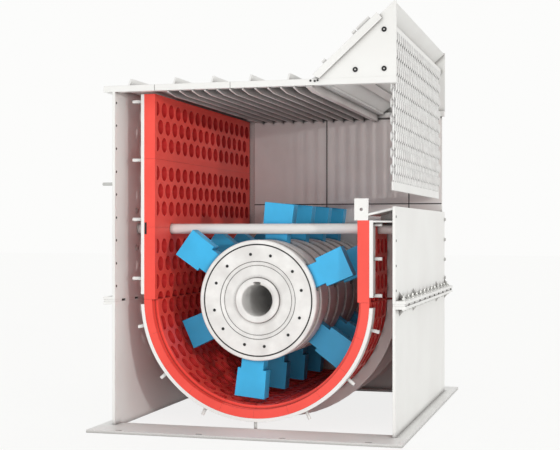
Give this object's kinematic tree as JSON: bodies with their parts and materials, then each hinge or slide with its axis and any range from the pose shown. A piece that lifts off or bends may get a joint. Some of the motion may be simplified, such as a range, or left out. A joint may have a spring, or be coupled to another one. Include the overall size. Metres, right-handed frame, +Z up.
{
  "type": "box crusher",
  "caption": "Box-shaped hammer crusher cut open at the front, with a hinged-hammer rotor, perforated liners, a round bottom grate and a chain curtain at the feed side.",
  "frame": {"origin": "middle of the base frame's footprint, on the floor", "axes": "+X across the machine to the feed side, +Y from the open front to the rear along the rotor shaft, +Z up"},
  "size_m": [2.226, 2.976, 2.9549],
  "materials": {
    "white_paint": "satin off-white paint",
    "grey_plate": "matte grey-painted wear plate",
    "red_liner": "red-painted manganese steel casting",
    "blue_hammer": "blue-painted steel casting",
    "white_rotor": "white-painted machined casting",
    "grey_rotor": "grey-painted casting",
    "ground_steel": "ground shaft steel",
    "chain_steel": "white-painted welded chain"
  },
  "bodies": {
    "housing": {"base_frame": "white_paint", "bearing_stand": "white_paint", "bottom_grate": "red_liner", "cover_ribs": "white_paint", "cradle_ribs": "grey_plate", "cross_pipe": "white_paint", "curtain_bar": "white_paint", "curtain_chains": "chain_steel", "curtain_rail": "white_paint", "feed_sill": "white_paint", "hood_cover": "white_paint", "hood_end_plates": "white_paint", "hood_strips": "grey_plate", "hood_top": "white_paint", "hoop_bars": "white_paint", "hoop_lower": "white_paint", "liner_brackets": "grey_plate", "liner_left_low": "red_liner", "liner_left_middle": "red_liner", "liner_left_top": "red_liner", "liner_right": "red_liner", "lower_rear_wall": "white_paint", "lower_wall_left": "white_paint", "lower_wall_right": "white_paint", "lug_plate": "white_paint", "rear_bearing": "white_paint", "rear_panels": "grey_plate", "roof_beam": "grey_plate", "roof_end_bars": "white_paint", "roof_left_bar": "white_paint", "roof_plate": "white_paint", "roof_ribs": "white_paint", "roof_strips": "grey_plate", "sill_gussets": "white_paint", "sill_shelf": "white_paint", "split_flanges": "white_paint", "split_packers": "grey_plate", "upper_rear_wall": "white_paint", "upper_wall_left": "white_paint", "upper_wall_right": "white_paint"},
    "rotor": {"rotor_hub": "white_rotor", "front_disc": "white_rotor", "rear_disc": "white_rotor", "rotor_discs": "grey_rotor", "rotor_spacers": "grey_rotor", "hammer_pins": "ground_steel", "rotor_shaft": "ground_steel"},
    "hammer_set_1": {"hammers_1": "blue_hammer"},
    "hammer_set_2": {"hammers_2": "blue_hammer"},
    "hammer_set_3": {"hammers_3": "blue_hammer"},
    "hammer_set_4": {"hammers_4": "blue_hammer"},
    "hammer_set_5": {"hammers_5": "blue_hammer"},
    "hammer_set_6": {"hammers_6": "blue_hammer"}
  },
  "joints": [
    {"name": "rotor_spin", "type": "hinge", "parent": "housing", "child": "rotor", "pos_m": [0, 0, 0.915], "axis": [0, 1, 0], "continuous": true},
    {"name": "hammer_swing_1", "type": "hinge", "parent": "rotor", "child": "hammer_set_1", "pos_m": [0.31061, 0, 1.05329], "axis": [0, 1, 0], "range_deg": [-12, 12]},
    {"name": "hammer_swing_2", "type": "hinge", "parent": "rotor", "child": "hammer_set_2", "pos_m": [0.03554, 0, 1.25314], "axis": [0, 1, 0], "range_deg": [-12, 12]},
    {"name": "hammer_swing_3", "type": "hinge", "parent": "rotor", "child": "hammer_set_3", "pos_m": [-0.27507, 0, 1.11485], "axis": [0, 1, 0], "range_deg": [-12, 12]},
    {"name": "hammer_swing_4", "type": "hinge", "parent": "rotor", "child": "hammer_set_4", "pos_m": [-0.31061, 0, 0.77671], "axis": [0, 1, 0], "range_deg": [-12, 12]},
    {"name": "hammer_swing_5", "type": "hinge", "parent": "rotor", "child": "hammer_set_5", "pos_m": [-0.03554, 0, 0.57686], "axis": [0, 1, 0], "range_deg": [-12, 12]},
    {"name": "hammer_swing_6", "type": "hinge", "parent": "rotor", "child": "hammer_set_6", "pos_m": [0.27507, 0, 0.71515], "axis": [0, 1, 0], "range_deg": [-12, 12]}
  ]
}
